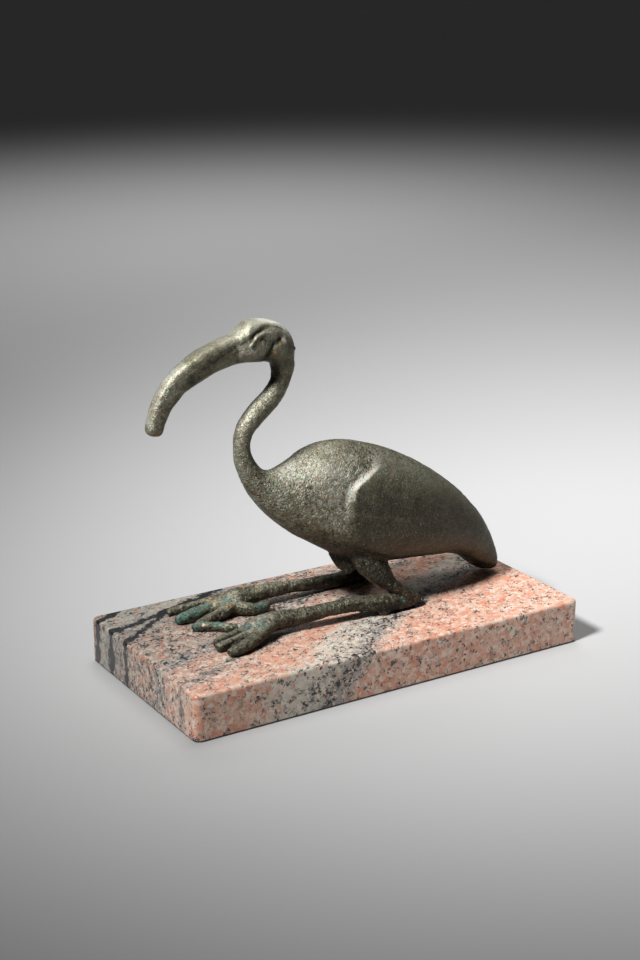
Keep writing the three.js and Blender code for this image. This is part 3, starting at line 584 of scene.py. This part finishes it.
def tone_of(points, normals, wing, leg, lip):
    """Darkness of the skin, from 0, dark brown, to 1, pale: a middle tone on breast and neck, raised along
    the rubbed lines and painted highlights, with a painted highlight on the lip before the wing and painted
    light where the skin faces up; lowered along painted shade lines, on wing, belly and legs, the belly
    as painted shade toward its underside."""
    tone = np.full(len(points), 0.46)
    for lines, sign in ((WEAR_AND_HIGHLIGHT_LINES, 1), (PAINTED_SHADE_LINES, -1), (ONE_SIDE_PAINTED_SHADE_AND_LIGHT, 1)):
        for line, reach, strength in lines:
            for one in both_sides(line)[:1 if lines is ONE_SIDE_PAINTED_SHADE_AND_LIGHT or line[0][1] == MIDDLE else 2]:
                d, _ = distance_to_line(points, one)
                tone += sign * strength * np.exp(-((d / reach) ** 2))
    # painted highlight on the lip before the wing, brightest about 79 mm up
    tone += 0.42 * lip * np.exp(-(((points[:, 2] - 79) / 8.5) ** 2))
    # painted shade: the belly darker toward its underside; painted light: wing and legs less dark where the
    # skin faces up
    belly = smooth((68.0 - points[:, 2]) / 20.0) * (points[:, 0] > -30) * (1 - leg)
    upward = smooth(normals[:, 2] / 0.8)
    thigh = leg * smooth((points[:, 2] - 28.5) / 5.0) * (points[:, 0] > -5)
    tone -= (0.21 - 0.34 * upward) * wing + 0.35 * belly * (1 - wing)
    tone -= (0.25 - 0.26 * upward) * leg + 0.18 * thigh
    return np.clip(tone, 0.05, 1.2)


def ruggedness(points, wing, leg):
    """How strongly worms and pits show: fully on the lower breast and neck base, less on crown, wing and
    thigh."""
    rugged = 0.75 - 0.3 * smooth((points[:, 2] - 92.0) / 8.0)
    rugged += 0.35 * spot(points, (-30, MIDDLE, 78), 26) + 0.3 * spot(points, (-2, -16, 62), 22)
    shoulder = np.maximum(spot(points, (-12, -11, 88), 13), spot(points, (-12, 18, 88), 13))
    head = smooth((points[:, 2] - 128.0) / 8.0)
    rugged *= (1 - 0.65 * wing) * (1 + 0.2 * leg) * (1 - 0.6 * shoulder) * (1 - 0.45 * head)
    rugged *= 1 - 0.6 * leg * smooth((points[:, 2] - 29) / 5.0)
    return np.clip(rugged, 0, 1)


DEEP_PIT = 0.25         # depth in mm that counts as a quite dark pit
STEEP_LIP = 0.22        # rise per mm at which the painted highlight on the wing's lip is at its brightest
u, angle = body_place(points)
leg = leg_share(points)
on_body = (1 - leg) * (points[:, 0] > -12)
wing = wing_share(u, angle) * on_body
step = 0.0015           # of u, either way
run = 2 * step * (len(BODY_ROWS) - 1) * ROW_LENGTH
climb = (wing_proud(u + step, angle) - wing_proud(u - step, angle)) / run
# share of the painted highlight on the lip before the wing, by how steeply the wing climbs
lip = np.clip(climb / STEEP_LIP, 0, 1) * on_body
normals = vertex_normals(points, triangles)
give(ibis_mesh, "wing", wing)
# the tone holds painted highlight and painted shade as well as the patina's own tone
give(ibis_mesh, "tone", tone_of(points, normals, wing, leg, lip))
give(ibis_mesh, "rugged", ruggedness(points, wing, leg))
give(ibis_mesh, "teal", any_of(points, TEAL_PLACES))
give(ibis_mesh, "ochre", any_of(points, OCHRE_PLACES))
hollow = np.einsum("ij,ij->i", softened(points, edges, *PIT_SOFTENING) - points, normals)
give(ibis_mesh, "hollow", np.clip(0.5 + hollow / DEEP_PIT, 0, 1))


# ---------------------------------------------------------------- slab
def slab_mesh():
    """Rounded rectangle carried up the slab: each ring is the outline drawn in by an inset at a height,
    first round the lower edge by a quarter circle, then up the side, then round the upper edge; flat
    faces close both ends."""
    turn = np.linspace(0, np.pi / 2, EDGE_RINGS)
    low, high = SLAB_BOTTOM_ROUNDING, SLAB_TOP_ROUNDING
    inset = np.concatenate([[low + 1.0], low * (1 - np.sin(turn)), [0.0, 0.0],
                            high * (1 - np.cos(turn)), [high + 1.0]])
    height = np.concatenate([[0.0], low * (1 - np.cos(turn)), [6.0, 13.0],
                             SLAB_THICKNESS - high * (1 - np.sin(turn)), [SLAB_THICKNESS]])
    quarter = np.linspace(0, np.pi / 2, CORNER_POINTS)
    angle = np.concatenate([quarter + k * np.pi / 2 for k in range(4)])
    middle_x = np.repeat([1, -1, -1, 1], CORNER_POINTS) * (SLAB_LENGTH / 2 - SLAB_CORNER)
    middle_y = np.repeat([1, 1, -1, -1], CORNER_POINTS) * (SLAB_WIDTH / 2 - SLAB_CORNER)
    radius = SLAB_CORNER - inset[:, None]
    points = np.stack([middle_x + radius * np.cos(angle), middle_y + radius * np.sin(angle),
                       np.broadcast_to(height[:, None], radius.shape[:1] + angle.shape)], -1)
    rings, sides = points.shape[:2]
    i, j = np.meshgrid(np.arange(rings - 1), np.arange(sides), indexing="ij")
    a, b = i * sides + j, i * sides + (j + 1) % sides
    quads = np.stack([a, b, b + sides, a + sides], -1).reshape(-1, 4).tolist()
    under, top = list(range(sides))[::-1], list(range((rings - 1) * sides, rings * sides))
    mesh = mesh_from("granite_slab", points.reshape(-1, 3), quads + [under, top])
    flat = np.ones(len(mesh.polygons), bool)
    flat[-2:] = False
    mesh.polygons.foreach_set("use_smooth", flat)
    return mesh


slab = object_from("granite_slab", slab_mesh())
ibis = object_from("bronze_ibis", ibis_mesh)


# ---------------------------------------------------------------- finishes
def new_finish(name):
    finish = bpy.data.materials.new(name)
    finish.use_nodes = True
    tree = finish.node_tree
    return finish, tree, tree.nodes["Principled BSDF"]


def put(tree, kind, inputs=None, **settings):
    """Adds a node, sets its options, and links or fills its inputs."""
    node = tree.nodes.new(kind)
    for key, value in settings.items():
        setattr(node, key, value)
    for key, value in (inputs or {}).items():
        if isinstance(value, bpy.types.NodeSocket):
            tree.links.new(value, node.inputs[key])
        else:
            node.inputs[key].default_value = value
    return node


def places(tree, turn=0.0):
    """Object coordinates in millimetres, turned about Z."""
    where = put(tree, "ShaderNodeTexCoord").outputs["Object"]
    return put(tree, "ShaderNodeMapping", {"Vector": where, "Rotation": (0, 0, turn),
                                           "Scale": (1 / MM,) * 3}).outputs[0]


def noise(tree, where, size, detail=3.0, roughness=0.55, bend=0.0):
    """Noise whose lumps are about the given size in millimetres."""
    return put(tree, "ShaderNodeTexNoise", {"Vector": where, "Scale": 1.0 / size, "Detail": detail,
                                            "Roughness": roughness, "Distortion": bend}).outputs["Fac"]


def between(tree, value, low, high, to_low=0.0, to_high=1.0):
    """Stretches the part of a value between two limits, smoothly."""
    return put(tree, "ShaderNodeMapRange", {
        "Value": value, "From Min": low, "From Max": high, "To Min": to_low, "To Max": to_high,
    }, interpolation_type="SMOOTHSTEP").outputs["Result"]


def sum_of(tree, a, b, operation="ADD"):
    """Sum of two values, or what another operation makes of them."""
    return put(tree, "ShaderNodeMath", {0: a, 1: b}, operation=operation).outputs[0]


def times(tree, a, b):
    """Product of two values."""
    return sum_of(tree, a, b, "MULTIPLY")


def apart(tree, a, b):
    """How far two values lie apart."""
    return sum_of(tree, sum_of(tree, a, b, "SUBTRACT"), 0.0, "ABSOLUTE")


def beyond(tree, a, b):
    """How far the first value lies above the second, or nought."""
    return sum_of(tree, sum_of(tree, a, b, "SUBTRACT"), 0.0, "MAXIMUM")


def mixed(tree, share, first, second, blend="MIX"):
    """Colour between two colours, or the first tinted by the second when the blend is MULTIPLY."""
    first, second = (c if isinstance(c, bpy.types.NodeSocket) else (*c, 1.0) for c in (first, second))
    return put(tree, "ShaderNodeMix", {0: share, 6: first, 7: second},
               data_type="RGBA", blend_type=blend).outputs[2]


def carried(tree, name):
    """Number that the mesh carries for each vertex."""
    return put(tree, "ShaderNodeAttribute", attribute_name=name).outputs["Fac"]


def ramp(tree, value, low, high, stops):
    """Colour or number read off a list of (place, value) between two limits of the value."""
    node = put(tree, "ShaderNodeValToRGB", {"Fac": put(tree, "ShaderNodeMapRange", {
        "Value": value, "From Min": low, "From Max": high}).outputs["Result"]})
    band = node.color_ramp
    while len(band.elements) < len(stops):
        band.elements.new(0.5)
    for element, (place, shade) in zip(band.elements, stops):
        element.position = (place - low) / (high - low)
        element.color = (*(shade if isinstance(shade, tuple) else (shade,) * 3), 1.0)
    return node.outputs["Color"]


# small dabs of other colours: where, radius in mm, colour
SPECKS = [
    ((-32.3, -2.9, 139.9), 0.9, (0.62, 0.27, 0.06)), ((-30.0, -3.0, 142.9), 0.6, (0.50, 0.24, 0.08)),
    ((22.6, -20.4, 33.2), 0.55, (0.85, 0.85, 0.82)), ((-62.5, 7.2, 23.5), 0.8, (0.75, 0.45, 0.36)),
    ((17.6, -20.2, 20.8), 0.8, (0.42, 0.50, 0.68)), ((13.4, -19.0, 27.0), 0.9, (0.66, 0.50, 0.22)),
    ((1.6, -17.4, 27.9), 0.5, (0.62, 0.30, 0.08)), ((-77.1, 0.5, 132.4), 0.5, (0.52, 0.33, 0.15))]
# skin from dark brown to pale, by tone, whether the tone comes from rubbed wear or painted highlight
BRONZE = [(0.0, (0.018, 0.016, 0.012)), (0.25, (0.060, 0.054, 0.039)), (0.5, (0.165, 0.157, 0.107)),
          (0.75, (0.31, 0.30, 0.245)), (1.2, (0.60, 0.59, 0.53))]
CHIP, PIT, RUST = (0.42, 0.39, 0.24), (0.025, 0.022, 0.016), (0.46, 0.24, 0.075)
DARK_SEA, PALE_SEA = (0.010, 0.034, 0.028), (0.085, 0.225, 0.185)
BROWNISH, GREENISH = (1.0, 0.78, 0.62), (0.80, 1.0, 0.86)


def bronze_finish():
    """Old bronze: olive-brown skin with pale grey-green crust on the ridges, dark pits, teal and ochre on
    the feet."""
    finish, tree, skin = new_finish("old_bronze")
    where = places(tree)
    wing, tone, teal, ochre, hollow, rugged = (
        carried(tree, n) for n in ("wing", "tone", "teal", "ochre", "hollow", "rugged"))
    cloud = noise(tree, where, 9.0, 4.0, 0.6)
    patch = noise(tree, where, 3.2, 3.0, 0.6)
    worm = noise(tree, where, 1.2, 2.0, 0.5, 0.6)
    ridge = between(tree, apart(tree, worm, 0.5), 0.0, 0.13, 1.0, 0.0)
    ridge = times(tree, ridge, between(tree, noise(tree, where, 2.2, 1.0), 0.42, 0.56))
    pit = between(tree, noise(tree, where, 1.0, 2.0, 0.5, 0.4), 0.36, 0.50, 1.0, 0.0)
    fine = noise(tree, where, 0.6, 2.0, 0.6)

    uneven = sum_of(tree, *(between(tree, lumps, 0.3, 0.7, -0.07, 0.07) for lumps in (cloud, patch)))
    uneven = times(tree, uneven, between(tree, wing, 0.0, 1.0, 1.0, 0.45))
    # the carried tone brings its painted highlight and painted shade into the colour
    level = sum_of(tree, sum_of(tree, tone, uneven), between(tree, fine, 0.3, 0.7, -0.09, 0.09))
    lift = times(tree, times(tree, ridge, rugged), 0.22)
    fall = times(tree, times(tree, pit, rugged), 0.24)
    level = sum_of(tree, sum_of(tree, level, lift), fall, "SUBTRACT")
    colour = ramp(tree, level, 0.0, 1.2, BRONZE)
    chips = times(tree, between(tree, noise(tree, where, 0.9, 1.0, 0.5, 1.2), 0.66, 0.72), 0.5)
    colour = mixed(tree, chips, colour, CHIP)
    hue = noise(tree, where, 2.4, 2.0)
    colour = mixed(tree, between(tree, hue, 0.54, 0.70, 0.0, 0.6), colour, BROWNISH, "MULTIPLY")
    colour = mixed(tree, between(tree, hue, 0.46, 0.32, 0.0, 0.6), colour, GREENISH, "MULTIPLY")
    colour = mixed(tree, times(tree, between(tree, hollow, 0.52, 0.85), 0.75), colour, PIT)
    green = times(tree, between(tree, teal, 0.0, 0.6), between(tree, worm, 0.40, 0.60, 0.25, 1.0))
    colour = mixed(tree, green, colour, mixed(tree, between(tree, fine, 0.40, 0.64), DARK_SEA, PALE_SEA))
    rust = times(tree, between(tree, ochre, 0.05, 0.75), between(tree, worm, 0.46, 0.6))
    colour = mixed(tree, rust, colour, RUST)
    for place, size, shade in SPECKS:
        away = put(tree, "ShaderNodeVectorMath", {0: where, 1: place},
                   operation="DISTANCE").outputs["Value"]
        away = sum_of(tree, away, between(tree, fine, 0.3, 0.7, -0.3, 0.3))
        colour = mixed(tree, between(tree, away, 0.6 * size, size, 1.0, 0.0), colour, shade)
    tree.links.new(colour, skin.inputs["Base Color"])

    crust = sum_of(tree, sum_of(tree, green, rust, "MAXIMUM"), between(tree, tone, 0.55, 1.0), "MAXIMUM")
    tree.links.new(between(tree, crust, 0.2, 0.8, 0.65, 0.2), skin.inputs["Metallic"])
    rough = sum_of(tree, between(tree, fine, 0.3, 0.7, 0.42, 0.60), times(tree, crust, 0.2))
    tree.links.new(rough, skin.inputs["Roughness"])
    height = sum_of(tree, ridge, pit, "SUBTRACT")
    height = times(tree, height, between(tree, rugged, 0.0, 1.0, 0.2, 1.0))
    coarse = put(tree, "ShaderNodeBump", {"Height": height, "Distance": 0.00018, "Strength": 0.9})
    grain = put(tree, "ShaderNodeBump", {"Height": fine, "Distance": 0.00020, "Strength": 0.9,
                                         "Normal": coarse.outputs[0]})
    tree.links.new(grain.outputs[0], skin.inputs["Normal"])
    return finish


BAND_TURN = np.radians(-27.0)
# colour of the stone's mass by millimetres across the slanted bands
GROUND = [
    (-90, (0.62, 0.40, 0.305)), (-30, (0.60, 0.37, 0.275)), (-28, (0.44, 0.34, 0.28)),
    (-26, (0.32, 0.30, 0.27)), (-23.5, (0.32, 0.30, 0.27)), (-21, (0.50, 0.455, 0.385)),
    (-12.8, (0.54, 0.485, 0.41)), (-9.6, (0.58, 0.38, 0.285)), (-4, (0.59, 0.36, 0.265)),
    (1, (0.54, 0.38, 0.30)), (3.7, (0.38, 0.34, 0.30)), (6, (0.52, 0.36, 0.28)), (12, (0.48, 0.34, 0.265)),
    (16, (0.36, 0.32, 0.28)), (20, (0.30, 0.28, 0.25)), (24, (0.38, 0.32, 0.265)), (34, (0.46, 0.37, 0.30)),
    (46, (0.43, 0.36, 0.30)), (52, (0.38, 0.35, 0.31)), (58, (0.34, 0.33, 0.31)),
    (60.5, (0.46, 0.44, 0.38)), (68, (0.50, 0.465, 0.39)), (78, (0.44, 0.42, 0.365))]
# shares of black flakes, of orange and of grey grains, by the same millimetres; where the share is below
# nought there are none but in the thick of a clump
BLACK_SHARE = [
    (-90, -0.14), (-37, -0.12), (-34.4, 0.06), (-32, -0.08), (-28.5, 0.0), (-26.5, 0.34), (-24, 0.40),
    (-21, 0.14), (-19, 0.20), (-14, 0.06), (-11, -0.08), (0, -0.06), (2, 0.14), (5.5, 0.14), (8, 0.0),
    (14, 0.10), (18, 0.36), (22, 0.32), (26, 0.14), (36, 0.20), (48, 0.20), (54, 0.12), (61, 0.04),
    (68, 0.10), (78, 0.10)]
ORANGE_SHARE = [
    (-90, 0.36), (-31, 0.42), (-27, 0.12), (-18, 0.04), (-12.8, 0.08), (-9.6, 0.42), (-4, 0.44),
    (3.7, 0.14), (8, 0.34), (13, 0.40), (19, 0.12), (26, 0.26), (36, 0.40), (48, 0.30), (54, 0.10),
    (58, 0.02), (78, 0.02)]
GREY_SHARE = [
    (-90, 0.08), (-31, 0.10), (-26, 0.36), (-20, 0.28), (-11, 0.12), (0, 0.14), (3.7, 0.4), (10, 0.20),
    (18, 0.42), (30, 0.30), (48, 0.34), (58, 0.30), (64, 0.14), (78, 0.18)]
# painted shade: how much of its colour the stone keeps, by the same millimetres; less toward the
# slab's left end, where the light falls off
LEFT_END_PAINTED_SHADE = [(-90, 1.0), (5, 0.98), (25, 0.80), (45, 0.65), (60, 0.56), (80, 0.50)]
BAND_ENDS = (-90.0, 80.0)
# middles of the veins, across the bands
BLACK_VEIN, THIN_VEIN, CORNER_VEIN = 58.3, 3.7, 80.2
# from where on, and by how much for each millimetre, the bands move: past this x toward the left end;
# beyond that, where the black vein forks; past this y toward the front; and down the front face
SWING_START, SWING = -45.0, 0.2
FORK_START, FORK_SLOPE = 20.0, 0.39
FRONT_START, FRONT_TURN, LEAN = -25.0, 0.43, 0.4
# sizes of the grains, how much they are drawn out, and how far their borders tremble
SMALL_GRAIN, LARGE_GRAIN, DRAWN_OUT, TREMBLE = 0.85, 1.5, (0.74, 1.0, 0.76), 1.6
ORANGE, CREAM, CREAM_SHARE, GREY = (0.59, 0.23, 0.14), (0.72, 0.63, 0.53), 0.26, (0.17, 0.165, 0.155)
FLAKE_RIM, FLAKE_CORE, VEIN_BLACK = (0.10, 0.095, 0.09), (0.014, 0.014, 0.017), (0.017, 0.017, 0.020)
# FOOT_SHADE is the colour of a painted contact shadow along the slab's bottom edge
CORNER_PINK, FOOT_SHADE = (0.50, 0.27, 0.20), (0.012, 0.010, 0.009)


def vein(tree, place, centre, half, wander):
    """1 within half a width of the centre, 0 beyond, with a border of a millimetre; the width wanders."""
    away = sum_of(tree, apart(tree, place, centre), wander)
    return between(tree, away, half - 0.5, half + 0.5, 1.0, 0.0)


def granite_finish():
    """Polished granite: a pink, cream and grey mass with softly bordered orange, pale and grey grains and
    black flakes, whose shares follow slanted bands across the slab, and black veins. Toward the slab's
    left end the bands swing less far round, and the black vein forks; toward the front edge they run
    steeper, and down the front face they lean over. All grains are drawn out a little upright."""
    finish, tree, skin = new_finish("polished_granite")
    where, turned = places(tree), places(tree, BAND_TURN)
    plain = put(tree, "ShaderNodeSeparateXYZ", {"Vector": where}).outputs
    across = put(tree, "ShaderNodeSeparateXYZ", {"Vector": turned}).outputs["Y"]
    across = sum_of(tree, across, between(tree, noise(tree, where, 45.0, 2.0), 0.25, 0.75, -1.2, 1.2))
    leftward = beyond(tree, SWING_START, plain["X"])
    swung = sum_of(tree, across, times(tree, leftward, SWING), "SUBTRACT")
    steeper = between(tree, plain["X"], -150.0, -20.0, 0.0, FRONT_TURN)
    swung = sum_of(tree, swung, times(tree, beyond(tree, FRONT_START, plain["Y"]), steeper))
    leaning = times(tree, between(tree, plain["Y"], -47.5, -44.0, LEAN, 0.0),
                    between(tree, plain["X"], -65.0, -30.0))
    swung = sum_of(tree, swung, times(tree, sum_of(tree, plain["Z"], REST, "SUBTRACT"), leaning))
    drawn = put(tree, "ShaderNodeMapping", {"Vector": turned, "Scale": DRAWN_OUT}).outputs[0]
    ragged = between(tree, noise(tree, drawn, 3.2, 4.0, 0.75), 0.25, 0.75, -1.9, 1.9)
    band = sum_of(tree, swung, ragged)
    soft_band = sum_of(tree, swung, times(tree, ragged, 0.55))
    black_share, orange_share, grey_share, shade = (
        ramp(tree, band, *BAND_ENDS, table) for table in (BLACK_SHARE, ORANGE_SHARE, GREY_SHARE, LEFT_END_PAINTED_SHADE))

    # cells with trembling borders, each with fixed random numbers in its colour
    tremble = put(tree, "ShaderNodeTexNoise", {"Vector": drawn, "Scale": 0.9, "Detail": 3.0})
    jagged = put(tree, "ShaderNodeVectorMath", {0: tremble.outputs["Color"], 1: (TREMBLE,) * 3, 2: drawn},
                 operation="MULTIPLY_ADD").outputs[0]
    cells = (put(tree, "ShaderNodeTexVoronoi", {"Vector": jagged, "Scale": 1 / size}).outputs["Color"]
             for size in (SMALL_GRAIN, LARGE_GRAIN))
    small, large = (put(tree, "ShaderNodeSeparateColor", {"Color": cell}).outputs for cell in cells)
    soft = between(tree, noise(tree, drawn, 1.5, 3.0, 0.65), 0.25, 0.75, -0.3, 0.3)
    clump = between(tree, noise(tree, drawn, 2.8, 3.0, 0.6), 0.3, 0.7, -0.32, 0.32)
    fleck = between(tree, noise(tree, drawn, 0.6, 2.0, 0.6), 0.3, 0.7, -0.22, 0.22)

    outside = between(tree, across, CORNER_VEIN + 1.0, CORNER_VEIN + 2.5)
    colour = mixed(tree, outside, ramp(tree, soft_band, *BAND_ENDS, GROUND), CORNER_PINK)
    for share, wander, grain, edge, depth, stain in (
            (orange_share, soft, large["Red"], 0.28, 0.85, ORANGE),
            (CREAM_SHARE, soft, large["Green"], 0.24, 0.65, CREAM),
            (grey_share, clump, small["Green"], 0.18, 0.60, GREY)):
        over = sum_of(tree, sum_of(tree, wander, share), grain, "SUBTRACT")
        colour = mixed(tree, between(tree, over, -edge, edge, 0.0, depth), colour, stain)
    flakes = sum_of(tree, sum_of(tree, clump, black_share), fleck)
    over = sum_of(tree, flakes, small["Red"], "SUBTRACT")
    black = mixed(tree, between(tree, over, 0.0, 0.4), FLAKE_RIM, FLAKE_CORE)
    colour = mixed(tree, between(tree, over, -0.08, 0.06, 0.0, 0.95), colour, black)

    forked = sum_of(tree, soft_band, times(tree, beyond(tree, leftward, FORK_START), FORK_SLOPE))
    corner = sum_of(tree, across, times(tree, ragged, 0.4))
    thick = between(tree, noise(tree, drawn, 5.0, 3.0, 0.7), 0.3, 0.7, -1.3, 1.3)
    broken = between(tree, fleck, -0.2, 0.0, 0.85, 1.0)
    for place, centre, half, depth in ((soft_band, BLACK_VEIN, 1.7, 1.0), (forked, BLACK_VEIN, 1.5, 1.0),
                                       (soft_band, THIN_VEIN, 0.7, 0.6), (corner, CORNER_VEIN, 1.8, 1.0)):
        share = times(tree, vein(tree, place, centre, half, thick), broken)
        colour = mixed(tree, times(tree, share, depth), colour, VEIN_BLACK)
    # painted shade: the stone darkened toward the slab's left end, where the light falls off
    colour = mixed(tree, 1.0, colour, shade, "MULTIPLY")
    # painted contact shadow: the slab's lowest millimetre darkened almost to black
    colour = mixed(tree, between(tree, plain["Z"], 0.5, 1.0, 1.0, 0.0), colour, FOOT_SHADE)
    tree.links.new(colour, skin.inputs["Base Color"])
    skin.inputs["Roughness"].default_value = 0.24
    skin.inputs["Specular IOR Level"].default_value = 0.38
    return finish


def floor_finish():
    """Matt pale paint with a very slight unevenness."""
    finish, tree, skin = new_finish("pale_floor")
    soft = noise(tree, places(tree), 400.0, 2.0)
    tree.links.new(mixed(tree, soft, (0.40, 0.40, 0.40), (0.43, 0.43, 0.43)), skin.inputs["Base Color"])
    skin.inputs["Roughness"].default_value = 0.8
    skin.inputs["Specular IOR Level"].default_value = 0.2
    return finish


ibis.data.materials.append(bronze_finish())
slab.data.materials.append(granite_finish())

# ---------------------------------------------------------------- floor, light and camera
FLOOR_RADIUS, FLOOR_SIDES, FLOOR_HEIGHT = 9000, 96, -0.02
ring_angle = np.linspace(0, 2 * np.pi, FLOOR_SIDES, endpoint=False)
floor_points = np.stack([FLOOR_RADIUS * np.cos(ring_angle), FLOOR_RADIUS * np.sin(ring_angle),
                         np.full(FLOOR_SIDES, FLOOR_HEIGHT)], -1)
floor = object_from("floor", mesh_from("floor", floor_points, [list(range(FLOOR_SIDES))]))
floor.data.materials.append(floor_finish())


def soft_light(name, place, size, power, aim, spread):
    """Square soft box turned to its aim; a grid in front narrows its beam to the spread, in degrees."""
    lamp = bpy.data.lights.new(name, "AREA")
    lamp.shape, lamp.size, lamp.energy, lamp.spread = "SQUARE", size, power, np.radians(spread)
    light = object_from(name, lamp)
    light.location = place
    light.rotation_euler = (Vector(aim) - Vector(place)).to_track_quat("-Z", "Y").to_euler()


LIGHTS = [
    # name, place and size in metres, power in watts, what it aims at, spread of its beam
    ("key", (-0.86, -0.20, 1.06), 0.22, 2.25, (0.34, 0.08, 0.0), 36.0),
    ("top", (0.20, 0.25, 1.15), 0.5, 1.3, (0.15, 0.10, 0.0), 90.0),
    ("back", (0.45, 1.05, 0.90), 0.7, 3.0, (0.50, 0.80, 0.0), 100.0),
]
for light_row in LIGHTS:
    soft_light(*light_row)
WORLD_LIGHT = 0.045
world = bpy.data.worlds.new("studio")
bpy.context.scene.world = world
world.use_nodes = True
world.node_tree.nodes["Background"].inputs["Color"].default_value = (1, 1, 1, 1)
world.node_tree.nodes["Background"].inputs["Strength"].default_value = WORLD_LIGHT
bpy.context.scene.view_settings.view_transform = "Standard"

CAMERA_PLACE, CAMERA_AIM = Vector((-0.3828, -0.6036, 0.3143)), Vector((-0.00912, 0.0, 0.08049))
CAMERA_LENS, SENSOR_WIDTH = 66.11, 36.0
camera = object_from("camera", bpy.data.cameras.new("camera"))
camera.data.lens, camera.data.sensor_width = CAMERA_LENS, SENSOR_WIDTH
camera.location = CAMERA_PLACE
camera.rotation_euler = (CAMERA_AIM - CAMERA_PLACE).to_track_quat("-Z", "Y").to_euler()
bpy.context.scene.camera = camera

# ---------------------------------------------------------------- what rides and what stands for what
for piece, node, slot in ((ibis, "ibis", "bronze"), (slab, "base", "stone")):
    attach(piece, "root")
    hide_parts(node)
